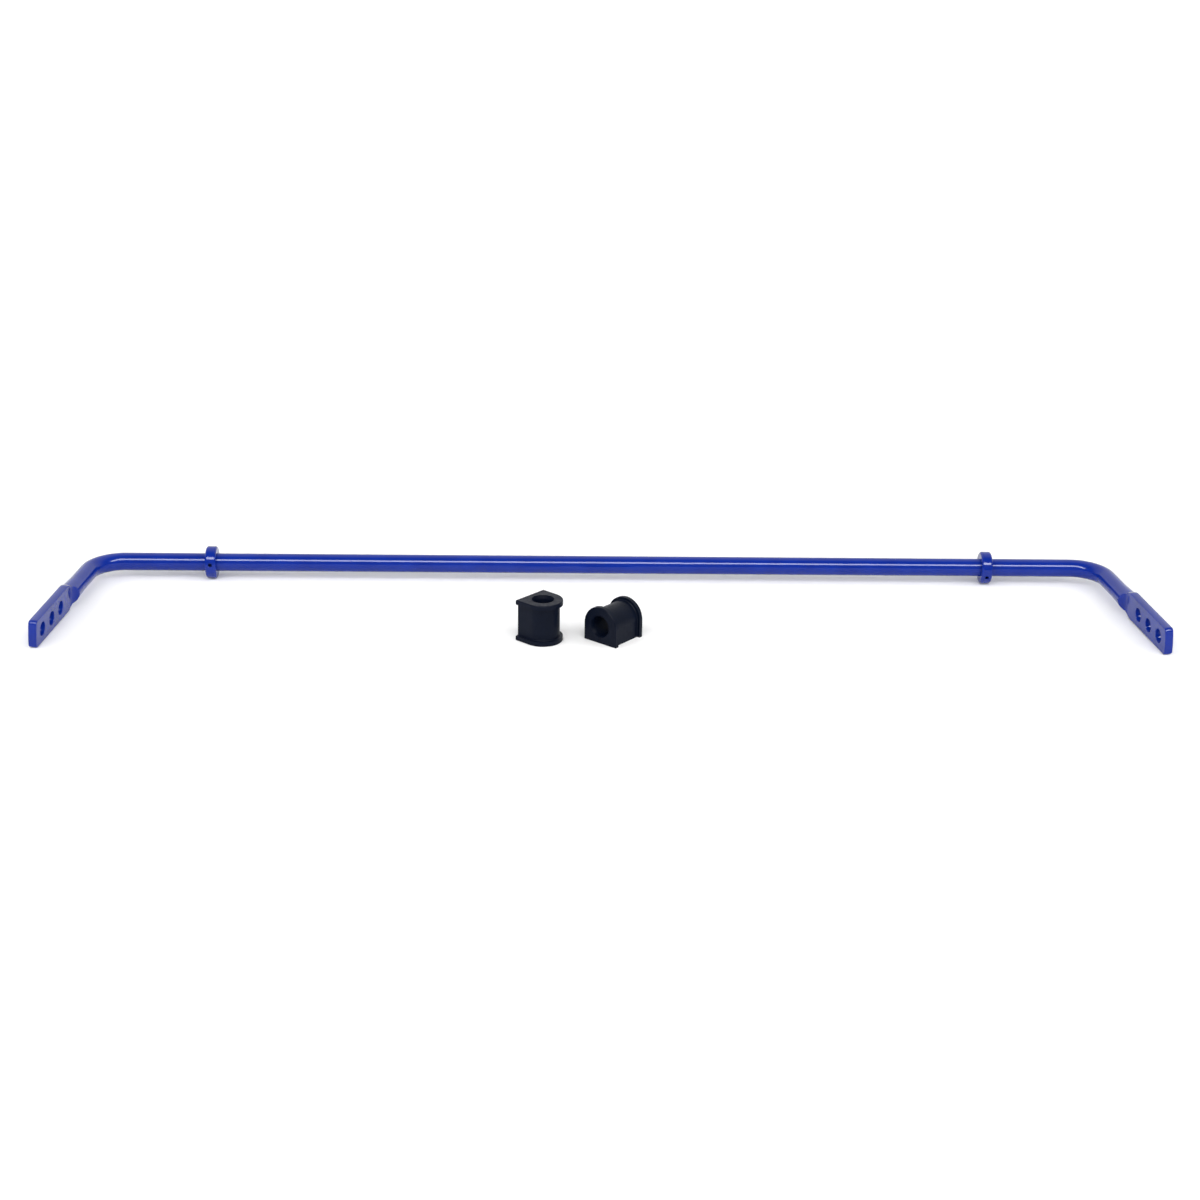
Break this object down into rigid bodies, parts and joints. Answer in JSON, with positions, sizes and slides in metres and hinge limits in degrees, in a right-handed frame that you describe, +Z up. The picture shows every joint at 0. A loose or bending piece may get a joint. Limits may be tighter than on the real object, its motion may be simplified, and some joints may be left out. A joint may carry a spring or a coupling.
{
  "type": "sway bar",
  "caption": "Automotive sway bar: U-shaped round bar with flat three-hole blades, two locating collars with set screws, and a pair of loose flanged D bushes.",
  "frame": {"origin": "middle of the floor rectangle under the whole set, on the surface it rests on", "axes": "+X along the straight part of the bar to its right end, +Y from the arms towards the bar, +Z up"},
  "size_m": [1.1002, 0.2154, 0.0422],
  "materials": {
    "bar_coat": "glossy blue powder coat",
    "collar_coat": "glossy blue powder coat",
    "set_screw": "black oxide",
    "bush": "satin black polyurethane"
  },
  "bodies": {
    "bar": {"sway_bar": "bar_coat"},
    "collar_left": {"collar_left": "collar_coat"},
    "collar_right": {"collar_right": "collar_coat"},
    "screw_left": {"set_screw_left": "set_screw"},
    "screw_right": {"set_screw_right": "set_screw"},
    "bush_left": {"bush_left": "bush"},
    "bush_right": {"bush_right": "bush"}
  },
  "joints": [
    {"name": "collar_left_slide", "type": "slide", "parent": "bar", "child": "collar_left", "axis": [1, 0, 0], "range_m": [-0.079, 0.3878]},
    {"name": "set_screw_left_turn", "type": "hinge", "parent": "collar_left", "child": "screw_left", "pos_m": [-0.4048, 0.07877, 0.01847], "axis": [0, -0.9903, 0.1392], "range_deg": [0, 450]},
    {"name": "collar_right_slide", "type": "slide", "parent": "bar", "child": "collar_right", "axis": [1, 0, 0], "range_m": [-0.3878, 0.079]},
    {"name": "set_screw_right_turn", "type": "hinge", "parent": "collar_right", "child": "screw_right", "pos_m": [0.4048, 0.07947, 0.01232], "axis": [0, -0.9336, -0.3584], "range_deg": [0, 450]},
    {"name": "bush_left_lift", "type": "slide", "parent": "bar", "child": "bush_left", "axis": [0, 0, 1], "range_m": [0, 0.08]},
    {"name": "bush_right_lift", "type": "slide", "parent": "bar", "child": "bush_right", "axis": [0, 0, 1], "range_m": [0, 0.08]}
  ]
}
